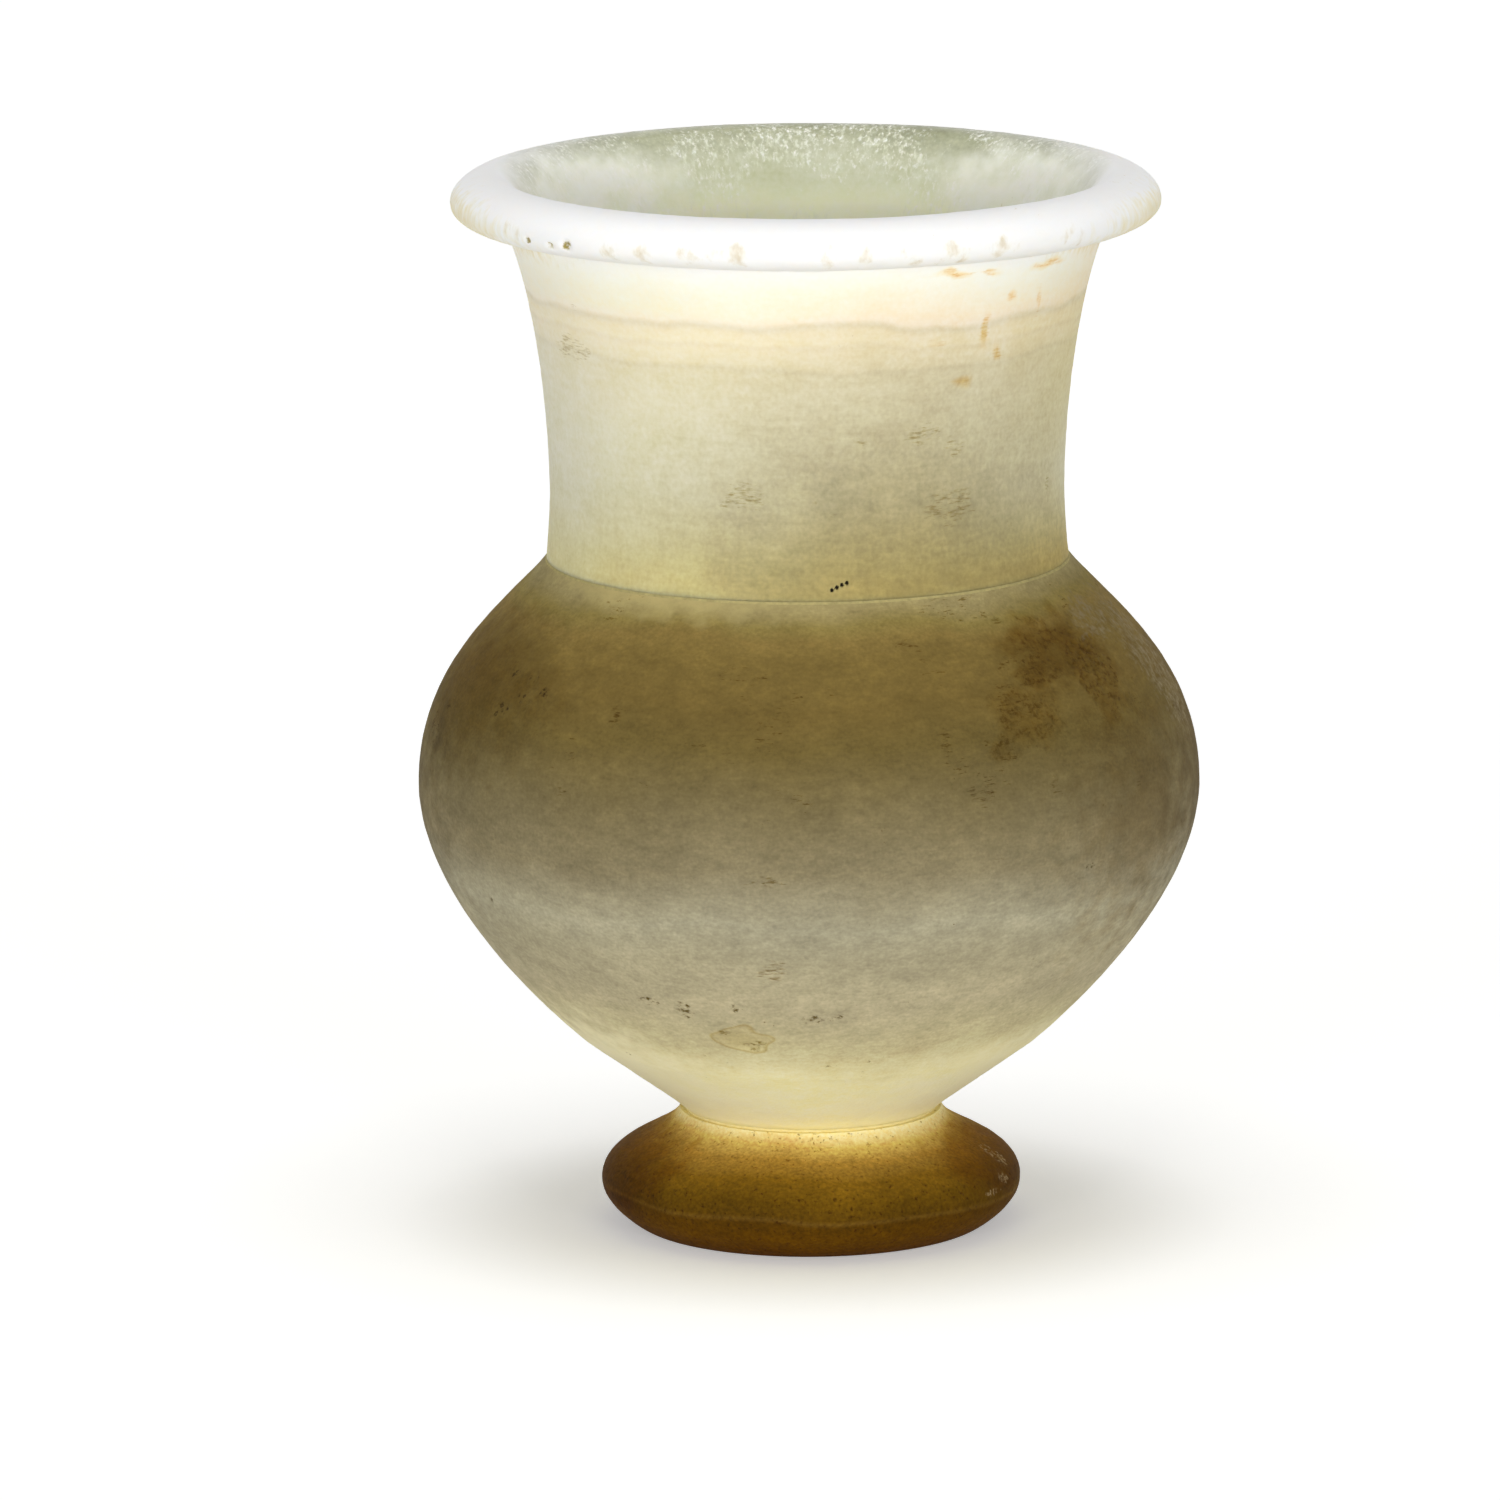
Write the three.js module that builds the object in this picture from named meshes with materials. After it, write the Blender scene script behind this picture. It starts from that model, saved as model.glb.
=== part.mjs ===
import * as THREE from "three";

// A travertine vase made of three stones: a flaring neck with a rolled lip, a deep round
// body, and a low foot. The foot has a tenon that locks into the underside of the body.
// The neck has a spigot that drops into the body's mouth. Each joint is bedded in a thin
// ring of gypsum mortar. All sizes are in millimetres, and the vase stands on z = 0.

// Facets round every stone
const facetsRound = 64;

// Foot: a domed disc, hollowed a little underneath so that it stands on a ring
const footHeight = 25;
const footSeatRadius = 28.2;
const footRadius = 45.4;
const footEdgeHeight = 9.5;
const footRestRadius = 37;
const footHollowRadius = 26;
const footHollowDepth = 1.5;
const footHollowCove = 4;
const tenonRadius = 15;
const tenonHeight = 6.5;
const tenonChamfer = 0.75;

// Body: a straight cone at the base, a bend into the belly, and a round shoulder
const bodyHeight = 119.75;
const bodyBaseRadius = 27.15;
const coneRadius = 49;
const coneHeight = 15.65;
const bellyRadius = 84.1;
const bellyHeight = 71.5;
const mouthRadius = 56.2;
const bellyWall = 8;
const floorThickness = 5.5;
const floorFlatRadius = 16;

// Neck: narrowest just above its root, flaring up to a lip with a flat underside
const neckHeight = 83.25;
const neckRootRadius = 55.9;
const neckNarrowRadius = 55.2;
const neckNarrowHeight = 14;
const neckTopRadius = 64.8;
const neckRootWall = 8.4;
const neckNarrowWall = 7;
const boreNarrowHeight = 12;
const lipHeight = 11;
const lipRadius = 76;
const lipEdgeHeight = 4.6;
const lipUndersideRadius = 68;
const crestRadius = 66.5;
const seatWidth = 4.7;
const spigotLength = 8;
const spigotChamfer = 0.75;

// Joints: a mortar bed between the seats, with a skirt round the spigot or tenon
const bedThickness = 0.5;
const bedRake = 0.3;
const skirtThickness = 0.6;
const skirtGap = 0.3;
const skirtShortfall = 1;
const endClearance = 1;

// Handles of the curved outlines, as shares of the spans that they bend over
const straightHandleShare = 1 / 3;
const footTopShares = { across: 0.2, down: 0.4 };
const footShoulderShare = 0.55;
const footHeelShares = { across: 0.1, up: 0.55 };
const coneHandleShare = 0.1;
const bellyLowShare = 0.47;
const bellyHighShare = 0.51;
const shoulderShares = { across: 0.36, down: 0.235 };
const cavityFloorShare = 0.42;
const cavityLowShare = 0.38;
const cavityHighShare = 0.4;
const cavityMouthShares = { across: 0.63, down: 0.29 };
const neckNarrowShare = 0.38;
const neckTopShares = { across: 0.55, down: 0.17 };
const boreCrestShare = 0.52;
const boreNarrowShare = 0.56;

// Colours of the stones and the mortar
const neckColour = 0xd8d2ae;
const bodyColour = 0x9c9068;
const footColour = 0x85611f;
const mortarColour = 0xa89a70;

// Sizes that follow from the joints
const jointPlay = skirtThickness + 2 * skirtGap;
const socketRadius = tenonRadius + jointPlay;
const socketDepth = tenonHeight - bedThickness + endClearance;
const spigotRadius = neckRootRadius - seatWidth;
const mouthBoreRadius = spigotRadius + jointPlay;
const mouthBoreDepth = spigotLength - bedThickness + endClearance;

// Heights of the seats above the ground
const footSeat = footHeight;
const bodySeat = footSeat + bedThickness;
const mouthSeat = bodySeat + bodyHeight;
const neckSeat = mouthSeat + bedThickness;

// A point of an outline: its distance from the axis and its height
function at(radius, height) {
  return new THREE.Vector2(radius, height);
}

// A smooth stretch between two points, pulled by one handle at each
function bend(start, startHandle, endHandle, end, steps) {
  const curve = new THREE.CubicBezierCurve(start, startHandle, endHandle, end);
  return curve.getPoints(steps);
}

// A quarter of an ellipse about a centre, from one angle in degrees to another
function quarter(centre, across, up, fromAngle, toAngle, steps) {
  const start = THREE.MathUtils.degToRad(fromAngle);
  const end = THREE.MathUtils.degToRad(toAngle);
  const curve = new THREE.EllipseCurve(centre.x, centre.y, across, up, start, end, end < start);
  return curve.getPoints(steps);
}

// Outline stretches joined end to end, with the points that they share kept once
function joined(...stretches) {
  const points = [];
  for (const point of stretches.flat()) {
    const last = points.at(-1);
    if (!last || !last.equals(point)) {
      points.push(point);
    }
  }
  return points;
}

// A stone turned about the upright axis from an outline, standing on its own seat height
function turned(name, outline, colour, roughness, seat) {
  const geometry = new THREE.LatheGeometry(outline, facetsRound);
  geometry.rotateX(Math.PI / 2);
  const finish = new THREE.MeshStandardMaterial({ color: colour, roughness, metalness: 0 });
  const mesh = new THREE.Mesh(geometry, finish);
  mesh.name = name;
  mesh.position.z = seat;
  return mesh;
}

// Foot stone, from the hollow underneath, round the edge and up to the tenon
function footOutline() {
  const hollow = at(footHollowRadius - footHollowCove, footHollowDepth);
  const rest = at(footRestRadius, 0);
  const edge = at(footRadius, footEdgeHeight);
  const seat = at(footSeatRadius, footHeight);
  const heelHandle = at(
    footRestRadius + (footRadius - footRestRadius) * footHeelShares.across,
    0,
  );
  const edgeLowHandle = at(footRadius, footEdgeHeight * (1 - footHeelShares.up));
  const domeHeight = footHeight - footEdgeHeight;
  const edgeHighHandle = at(footRadius, footEdgeHeight + domeHeight * footShoulderShare);
  const seatHandle = at(
    footSeatRadius + (footRadius - footSeatRadius) * footTopShares.across,
    footHeight - domeHeight * footTopShares.down,
  );
  return joined(
    at(0, footHollowDepth),
    hollow,
    at(footHollowRadius, 0),
    bend(rest, heelHandle, edgeLowHandle, edge, 6),
    bend(edge, edgeHighHandle, seatHandle, seat, 8),
    at(tenonRadius, footHeight),
    at(tenonRadius, footHeight + tenonHeight - tenonChamfer),
    at(tenonRadius - tenonChamfer, footHeight + tenonHeight),
    at(0, footHeight + tenonHeight),
  );
}

// Outside of the body, from the edge of its base up to the edge of its mouth
function bodyOutside() {
  const base = at(bodyBaseRadius, 0);
  const knee = at(coneRadius, coneHeight);
  const belly = at(bellyRadius, bellyHeight);
  const mouth = at(mouthRadius, bodyHeight);
  const kneeHandle = knee.clone().sub(base).multiplyScalar(coneHandleShare).add(knee);
  const bellyLow = at(bellyRadius, bellyHeight - (bellyHeight - coneHeight) * bellyLowShare);
  const shoulderHeight = bodyHeight - bellyHeight;
  const bellyHigh = at(bellyRadius, bellyHeight + shoulderHeight * bellyHighShare);
  const mouthHandle = at(
    mouthRadius + (bellyRadius - mouthRadius) * shoulderShares.across,
    bodyHeight - shoulderHeight * shoulderShares.down,
  );
  return joined(
    base,
    bend(knee, kneeHandle, bellyLow, belly, 11),
    bend(belly, bellyHigh, mouthHandle, mouth, 9),
  );
}

// Cavity of the body, from the bottom of the mouth's bore down to the floor
function bodyCavity() {
  const floorHeight = socketDepth + floorThickness;
  const cavityRadius = bellyRadius - bellyWall;
  const boreEnd = at(mouthBoreRadius, bodyHeight - mouthBoreDepth);
  const belly = at(cavityRadius, bellyHeight);
  const floor = at(floorFlatRadius, floorHeight);
  const highSpan = boreEnd.y - bellyHeight;
  const lowSpan = bellyHeight - floorHeight;
  const mouthHandle = at(
    mouthBoreRadius + (cavityRadius - mouthBoreRadius) * cavityMouthShares.across,
    boreEnd.y - highSpan * cavityMouthShares.down,
  );
  const bellyHigh = at(cavityRadius, bellyHeight + highSpan * cavityHighShare);
  const bellyLow = at(cavityRadius, bellyHeight - lowSpan * cavityLowShare);
  const floorHandle = at(floorFlatRadius + (cavityRadius - floorFlatRadius) * cavityFloorShare, floorHeight);
  return joined(
    bend(boreEnd, mouthHandle, bellyHigh, belly, 7),
    bend(belly, bellyLow, floorHandle, floor, 9),
    at(0, floorHeight),
  );
}

// Body stone, with the socket for the tenon below and the bore for the spigot above
function bodyOutline() {
  return joined(
    at(0, socketDepth),
    at(socketRadius, socketDepth),
    at(socketRadius, 0),
    bodyOutside(),
    at(mouthBoreRadius, bodyHeight),
    bodyCavity(),
  );
}

// Lip, from the neck's flat-cut underside round the rolled band to the crest
function lipOutline() {
  const underside = neckHeight - lipHeight;
  const edgeHeight = underside + lipEdgeHeight;
  const lowCentre = at(lipUndersideRadius, edgeHeight);
  const highCentre = at(crestRadius, edgeHeight);
  return joined(
    quarter(lowCentre, lipRadius - lipUndersideRadius, lipEdgeHeight, -90, 0, 4),
    quarter(highCentre, lipRadius - crestRadius, lipHeight - lipEdgeHeight, 0, 90, 5),
  );
}

// Neck stone, up the outside, over the lip and down the trumpet-shaped bore
function neckOutline() {
  const root = at(neckRootRadius, 0);
  const narrow = at(neckNarrowRadius, neckNarrowHeight);
  const top = at(neckTopRadius, neckHeight - lipHeight);
  const crest = at(crestRadius, neckHeight);
  const boreRadius = neckNarrowRadius - neckNarrowWall;
  const rootBoreRadius = neckRootRadius - neckRootWall;
  const bore = at(boreRadius, boreNarrowHeight);
  const flareHeight = top.y - neckNarrowHeight;
  const boreHeight = neckHeight - boreNarrowHeight;
  const rootHandle = at(neckRootRadius, neckNarrowHeight * straightHandleShare);
  const narrowLow = at(neckNarrowRadius, neckNarrowHeight * (1 - straightHandleShare));
  const narrowHigh = at(neckNarrowRadius, neckNarrowHeight + flareHeight * neckNarrowShare);
  const topHandle = at(
    neckTopRadius - (neckTopRadius - neckNarrowRadius) * neckTopShares.across,
    top.y - flareHeight * neckTopShares.down,
  );
  const crestHandle = at(crestRadius - (crestRadius - boreRadius) * boreCrestShare, neckHeight);
  const boreHandle = at(boreRadius, boreNarrowHeight + boreHeight * boreNarrowShare);
  return joined(
    root,
    bend(root, rootHandle, narrowLow, narrow, 2),
    bend(narrow, narrowHigh, topHandle, top, 8),
    lipOutline(),
    bend(crest, crestHandle, boreHandle, bore, 11),
    at(rootBoreRadius, -spigotLength + spigotChamfer),
    at(rootBoreRadius + spigotChamfer, -spigotLength),
    at(spigotRadius - spigotChamfer, -spigotLength),
    at(spigotRadius, -spigotLength + spigotChamfer),
    at(spigotRadius, 0),
    root.clone(),
  );
}

// Mortar ring: a flat bed between two seats and a skirt up or down round the inner stone.
// The outline starts at the bed's face on the skirt's side, and runs away from it.
function mortarOutline(innerRadius, outerRadius, skirtLength, upwards) {
  const skirtInner = innerRadius + skirtGap;
  const skirtOuter = skirtInner + skirtThickness;
  const bedNear = upwards ? bedThickness : 0;
  const bedFar = upwards ? 0 : bedThickness;
  const skirtEnd = upwards ? skirtLength : bedThickness - skirtLength;
  const points = [
    at(skirtInner, bedFar),
    at(outerRadius, bedFar),
    at(outerRadius, bedNear),
    at(skirtOuter, bedNear),
    at(skirtOuter, skirtEnd),
    at(skirtInner, skirtEnd),
    at(skirtInner, bedFar),
  ];
  return upwards ? points : points.reverse();
}

const foot = turned("foot", footOutline(), footColour, 0.6, 0);

const footMortar = turned(
  "foot_mortar",
  mortarOutline(tenonRadius, bodyBaseRadius - bedRake, tenonHeight - skirtShortfall, true),
  mortarColour,
  0.9,
  footSeat,
);

const body = turned("body", bodyOutline(), bodyColour, 0.6, bodySeat);

const neckMortar = turned(
  "neck_mortar",
  mortarOutline(spigotRadius, neckRootRadius - bedRake, spigotLength - skirtShortfall, false),
  mortarColour,
  0.9,
  mouthSeat,
);

const neck = turned("neck", neckOutline(), neckColour, 0.55, neckSeat);

const vase = new THREE.Group();
vase.name = "vase";
vase.add(foot, footMortar, body, neckMortar, neck);

export default vase;
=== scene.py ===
import math
import bmesh
import bpy
import numpy as np
from mathutils import Matrix, Vector, noise
from mathutils.geometry import interpolate_bezier


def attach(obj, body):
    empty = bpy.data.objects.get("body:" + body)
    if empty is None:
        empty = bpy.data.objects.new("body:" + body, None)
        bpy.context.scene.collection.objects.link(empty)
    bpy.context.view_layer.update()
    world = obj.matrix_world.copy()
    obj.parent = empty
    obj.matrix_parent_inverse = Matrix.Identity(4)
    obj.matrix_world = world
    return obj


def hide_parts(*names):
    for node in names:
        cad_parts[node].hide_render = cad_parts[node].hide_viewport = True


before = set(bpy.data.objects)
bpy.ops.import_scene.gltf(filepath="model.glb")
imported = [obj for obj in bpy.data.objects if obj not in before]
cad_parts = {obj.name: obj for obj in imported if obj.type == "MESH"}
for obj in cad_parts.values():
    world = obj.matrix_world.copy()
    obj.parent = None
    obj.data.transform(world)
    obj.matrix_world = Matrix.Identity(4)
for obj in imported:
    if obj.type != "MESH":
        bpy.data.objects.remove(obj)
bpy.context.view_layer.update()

# Foot
# The lowest stone: a domed disc turned from brown travertine and hollowed a little underneath.
# Its tenon goes up into the body. Rubbing has left a soft arris at its widest, and scuffs on it.
MM = 0.001
FOOT_HEIGHT = 25.0
FOOT_SEAT_RADIUS = 28.2
FOOT_RADIUS = 45.4
FOOT_EDGE_HEIGHT = 9.5
FOOT_REST_RADIUS = 37.0
FOOT_HOLLOW_RADIUS = 26.0
FOOT_HOLLOW_DEPTH = 1.5
FOOT_HOLLOW_COVE = 4.0
TENON_RADIUS = 15.0
TENON_HEIGHT = 6.5
TENON_CHAMFER = 0.75

# The middle of a flat disc is a fan of faces out to a radius
FOOT_FAN = 8

# How far the foot's bends lean, as shares of the spans that they cross
HEEL_OUT = 0.1
HEEL_UP = 0.45
DOME_UP = 0.55
DOME_TOP_OUT = 0.2
DOME_TOP_DOWN = 0.4

# Points round the small stones and round the big ones, the gap in mm that is welded shut, and
# the angle in degrees from which an edge counts as cut
FOOT_STEPS = 320
VESSEL_STEPS = 384
WELD = 0.002
CUT_ANGLE = 38

# Rubbing leaves a stone alone this near its seats, in mm, and comes in over this height. Its
# grit is a fractal noise with this falloff, step between sizes and number of sizes.
SEAT_MARGIN = 0.1
SEAT_FADE = 2.5
GRIT_FRACTAL = (1.0, 2.0, 3)

# A dent is deepest in the middle, and this power softens its rim
DENT_CURVE = 1.5

# The rims of loose marks wander in waves of this size in mm
LOOSE_WAVE = 5

# Levels of a noise between which patches go from dark to light, and past which a tint breaks in
CLOUD_DARK = 0.25
CLOUD_LIGHT = 0.75
BREAK_LEVEL = 0.85

# Colour zones drift in slow and quick waves, of a size in mm and a share of the drift asked for
SLOW_WAVE = 38
QUICK_WAVE = 13
SLOW_SHARE = 2.0
QUICK_SHARE = 0.6

# Sand leaves grains and level rubbing marks of these sizes in mm, this much relief in mm, and
# pits that count this many times as deep. Stone lets red light soak in a little further.
SAND_SIZE = 0.8
RUBBING_SIZE = 3
RUBBING_FLATTEN = 2.6
RELIEF_HEIGHT = 0.2
PIT_WEIGHT = 2.0
ROUGHNESS_SPREAD = 0.1
STONE_IOR = 1.5
SOAK_REACH = (1.0, 0.92, 0.82)

# The sockets of a Mix node that hold its two colours and its result
MIX_FIRST = 6
MIX_SECOND = 7
MIX_RESULT = 2


def stretch(start, end, start_handle=None, end_handle=None, spacing=1.3):
    """Points in mm from start up to but not including end, along a straight line or a bend."""
    start, end = Vector(start), Vector(end)
    start_handle = Vector(start_handle) if start_handle else start.lerp(end, 1 / 3)
    end_handle = Vector(end_handle) if end_handle else start.lerp(end, 2 / 3)
    steps = max(1, round((end - start).length / spacing))
    knots = [p.to_3d() for p in (start, start_handle, end_handle, end)]
    return [p.to_2d() for p in interpolate_bezier(*knots, steps + 1)[:-1]]


def turned(outline, around, closed):
    """A stone turned about the upright axis from an outline of (radius, height) in mm.

    An eighth is spun, and then doubled three times.
    """
    bm = bmesh.new()
    rim = [bm.verts.new((radius * MM, 0, height * MM)) for radius, height in outline]
    edges = [bm.edges.new(pair) for pair in zip(rim, rim[1:])]
    if closed:
        edges.append(bm.edges.new((rim[-1], rim[0])))
    sector = math.tau / 8
    bmesh.ops.spin(
        bm, geom=rim + edges, cent=(0, 0, 0), axis=(0, 0, 1), angle=sector, steps=around // 8
    )
    for turn in (sector, 2 * sector, 4 * sector):
        copy = bmesh.ops.duplicate(bm, geom=bm.verts[:] + bm.edges[:] + bm.faces[:])
        verts = [part for part in copy["geom"] if isinstance(part, bmesh.types.BMVert)]
        bmesh.ops.rotate(bm, verts=verts, cent=(0, 0, 0), matrix=Matrix.Rotation(turn, 3, "Z"))
    bmesh.ops.remove_doubles(bm, verts=bm.verts, dist=WELD * MM)
    bmesh.ops.recalc_face_normals(bm, faces=bm.faces)
    return bm


def refine(bm, areas, cuts=2):
    """Cuts the outer faces finer round areas of (azimuth in degrees, height, across, tall) in mm."""
    edges = set()
    for face in bm.faces:
        centre = face.calc_center_median() / MM
        if face.normal.dot(Vector((centre.x, centre.y, 0))) <= 0:
            continue
        for azimuth, height, across, tall in areas:
            if abs(centre.z - height) > tall / 2:
                continue
            turn = math.remainder(math.atan2(centre.x, -centre.y) - math.radians(azimuth), math.tau)
            if abs(turn) * math.hypot(centre.x, centre.y) < across / 2:
                edges.update(face.edges)
    bmesh.ops.subdivide_edges(bm, edges=list(edges), cuts=cuts, use_grid_fill=True)


def to_stone(bm, name):
    """Makes the object of a stone, smooth but for its cut edges."""
    mesh = bpy.data.meshes.new(name)
    bm.to_mesh(mesh)
    bm.free()
    mesh.shade_smooth()
    mesh.set_sharp_from_angle(angle=math.radians(CUT_ANGLE))
    stone = bpy.data.objects.new(name, mesh)
    bpy.context.scene.collection.objects.link(stone)
    return stone


def read_points(mesh, kind):
    """A mesh's vertex places or normals, one row each."""
    values = np.empty(len(mesh.vertices) * 3)
    mesh.vertices.foreach_get(kind, values)
    return values.reshape(-1, 3)


def take_off(mesh, places, normals, off):
    """Moves the surface inwards by some mm at each point."""
    places -= normals * (off * MM)[:, None]
    mesh.vertices.foreach_set("co", places.ravel())
    mesh.update()


def rub_uneven(stone, swell, swell_size, grit, grit_size, seats):
    """Takes a little off everywhere, as hand rubbing does, in mm, but nothing at the stone's seats."""
    mesh = stone.data
    places = read_points(mesh, "co")
    off = np.empty(len(places))
    for i, place in enumerate(places):
        point = Vector(place) / MM
        slow = 0.5 + 0.5 * noise.noise(point / swell_size)
        fine = 0.5 + 0.5 * noise.fractal(point / grit_size, *GRIT_FRACTAL)
        off[i] = swell * slow + grit * fine
    for seat in seats:
        away = np.abs(places[:, 2] / MM - seat)
        off *= np.clip((away - SEAT_MARGIN) / SEAT_FADE, 0, 1)
    take_off(mesh, places, read_points(mesh, "normal"), np.clip(off, 0, None))


def spread_from(places, azimuth, height, across, tall):
    """How far points lie from a place on the outside, where 1 is the rim of a mark of a size in mm."""
    turn = np.arctan2(places[:, 0], -places[:, 1]) - math.radians(azimuth)
    along = np.remainder(turn + math.pi, math.tau) - math.pi
    along *= np.hypot(places[:, 0], places[:, 1])
    return np.hypot(along / (across / 2), (places[:, 2] - height) / (tall / 2))


def faces_out(places, normals):
    """Whether each point's surface faces away from the axis."""
    return (places[:, :2] * normals[:, :2]).sum(axis=1) > 0


def press_marks(stone, marks):
    """Presses marks into the outside: (azimuth in degrees, height, across, tall, depth) in mm."""
    places = read_points(stone.data, "co")
    normals = read_points(stone.data, "normal")
    off = np.zeros(len(places))
    for azimuth, height, across, tall, depth in marks:
        spread = spread_from(places / MM, azimuth, height, across, tall)
        off = np.maximum(off, depth * np.clip(1 - spread**2, 0, 1) ** DENT_CURVE)
    take_off(stone.data, places, normals, off * faces_out(places, normals))


def store(stone, name, values):
    """Stores one number for each point of the mesh, for its material to read."""
    stone.data.attributes.new(name, "FLOAT", "POINT").data.foreach_set("value", values)


def mark_spots(stone, name, spots, loose=0.0, fade=0.6, outside=True):
    """Stores how near one face comes to spots of (azimuth, height, across, tall): 0 to 1."""
    places = read_points(stone.data, "co") / MM
    face = faces_out(places, read_points(stone.data, "normal")) == outside
    if loose:
        waves = [noise.noise_vector(Vector(place) / LOOSE_WAVE) for place in places]
        places += loose * np.array(waves)
    reach = np.zeros(len(places))
    for spot in spots:
        reach = np.maximum(reach, (1 - spread_from(places, *spot)) / fade)
    store(stone, name, np.clip(reach, 0, 1) * face)


def linear(colour):
    """An sRGB hex colour as linear RGBA."""
    parts = [int(colour[i : i + 2], 16) / 255 for i in (0, 2, 4)]
    return [c / 12.92 if c <= 0.04045 else ((c + 0.055) / 1.055) ** 2.4 for c in parts] + [1.0]


def add_node(tree, kind, inputs=None, stops=None, **settings):
    """Adds a shader node, with its settings, its inputs set or linked, and its colour stops."""
    node = tree.nodes.new("ShaderNode" + kind)
    for name, value in settings.items():
        setattr(node, name, value)
    for socket, value in (inputs or {}).items():
        if isinstance(value, bpy.types.NodeSocket):
            tree.links.new(value, node.inputs[socket])
        else:
            node.inputs[socket].default_value = value
    if stops:
        ramp = node.color_ramp.elements
        while len(ramp) < len(stops):
            ramp.new(1.0)
        for element, (position, colour) in zip(ramp, stops):
            element.position = position
            element.color = linear(colour)
    return node


def new_material(name):
    """An empty material and its node tree."""
    material = bpy.data.materials.new(name)
    material.use_nodes = True
    material.node_tree.nodes.clear()
    return material, material.node_tree


def zoned_colour(tree, coords, zones, drift):
    """The stone's colour by height: zones of (height in mm, colour), whose edges drift by some mm."""
    low, high = zones[0][0], zones[-1][0]
    upright = add_node(tree, "SeparateXYZ", {0: coords})
    slow = add_node(tree, "TexNoise", {"Vector": coords, "Scale": 1 / (SLOW_WAVE * MM), "Detail": 2.0})
    quick = add_node(tree, "TexNoise", {"Vector": coords, "Scale": 1 / (QUICK_WAVE * MM), "Detail": 1.0})
    lifted = add_node(
        tree,
        "Math",
        {0: slow.outputs[0], 1: drift * SLOW_SHARE * MM, 2: upright.outputs["Z"]},
        operation="MULTIPLY_ADD",
    )
    moved = add_node(
        tree,
        "Math",
        {0: quick.outputs[0], 1: drift * QUICK_SHARE * MM, 2: lifted.outputs[0]},
        operation="MULTIPLY_ADD",
    )
    shift = drift * (SLOW_SHARE + QUICK_SHARE) / 2
    share = add_node(
        tree,
        "MapRange",
        {"Value": moved.outputs[0], "From Min": (low + shift) * MM, "From Max": (high + shift) * MM},
    )
    stops = [((height - low) / (high - low), colour) for height, colour in zones]
    return add_node(tree, "ValToRGB", {0: share.outputs[0]}, stops=stops).outputs[0]


def mottle(tree, colour, coords, size, strength, flatten=1.0):
    """Lightens and darkens a colour in patches of a size in mm, flattened into level streaks."""
    squeezed = add_node(tree, "Mapping", {"Vector": coords, "Scale": (1, 1, flatten)})
    cloud = add_node(
        tree, "TexNoise", {"Vector": squeezed.outputs[0], "Scale": 1 / (size * MM), "Detail": 3.0}
    )
    tone = add_node(
        tree,
        "MapRange",
        {"Value": cloud.outputs[0], "From Min": CLOUD_DARK, "From Max": CLOUD_LIGHT},
    )
    mixed = add_node(
        tree,
        "Mix",
        {0: strength, MIX_FIRST: colour, MIX_SECOND: tone.outputs[0]},
        data_type="RGBA",
        blend_type="OVERLAY",
    )
    return mixed.outputs[MIX_RESULT]


def broken_tint(tree, colour, reach, breakup, tint, pull, soft=0.1, blend="MULTIPLY"):
    """Tints a colour in patches, where a breakup noise pulled up by a reach passes a high level."""
    pulled = add_node(tree, "Math", {0: reach, 1: pull, 2: breakup}, operation="MULTIPLY_ADD")
    mask = add_node(
        tree,
        "MapRange",
        {"Value": pulled.outputs[0], "From Min": BREAK_LEVEL, "From Max": BREAK_LEVEL + soft},
        interpolation_type="SMOOTHSTEP",
    )
    mixed = add_node(
        tree,
        "Mix",
        {0: mask.outputs[0], MIX_FIRST: colour, MIX_SECOND: linear(tint)},
        data_type="RGBA",
        blend_type=blend,
    )
    return mixed.outputs[MIX_RESULT], mask.outputs[0]


def stained(tree, colour, mark, breakup, tint, pull=1.3, soft=0.9, blend="MULTIPLY"):
    """Tints a colour in patches within a mark stored on the mesh."""
    reach = add_node(tree, "Attribute", attribute_name=mark).outputs["Fac"]
    return broken_tint(tree, colour, reach, breakup, tint, pull, soft, blend)


def rubbed_face(tree, coords, colour, pits, roughness, sheen, glow, depth, relief):
    """Ends a stone's material: a rubbed and sandy face that light soaks into by a depth in mm."""
    sand = add_node(tree, "TexNoise", {"Vector": coords, "Scale": 1 / (SAND_SIZE * MM), "Detail": 3.0})
    level = add_node(tree, "Mapping", {"Vector": coords, "Scale": (1, 1, RUBBING_FLATTEN)})
    rubbing = add_node(
        tree,
        "TexNoise",
        {"Vector": level.outputs[0], "Scale": 1 / (RUBBING_SIZE * MM), "Detail": 3.0},
    )
    grain = add_node(tree, "Math", {0: sand.outputs[0], 1: rubbing.outputs[0]}, operation="ADD")
    height = add_node(
        tree, "Math", {0: pits, 1: -PIT_WEIGHT, 2: grain.outputs[0]}, operation="MULTIPLY_ADD"
    )
    bump = add_node(
        tree,
        "Bump",
        {"Height": height.outputs[0], "Strength": relief, "Distance": RELIEF_HEIGHT * MM},
    )
    dull = add_node(
        tree,
        "MapRange",
        {
            "Value": rubbing.outputs[0],
            "To Min": roughness - ROUGHNESS_SPREAD,
            "To Max": roughness + ROUGHNESS_SPREAD,
        },
    )
    surface = add_node(
        tree,
        "BsdfPrincipled",
        {
            "Base Color": colour,
            "Roughness": dull.outputs[0],
            "IOR": STONE_IOR,
            "Specular IOR Level": sheen,
            "Subsurface Weight": glow,
            "Subsurface Radius": SOAK_REACH,
            "Subsurface Scale": depth * MM,
            "Normal": bump.outputs[0],
        },
    )
    add_node(tree, "OutputMaterial", {"Surface": surface.outputs[0]})


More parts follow.
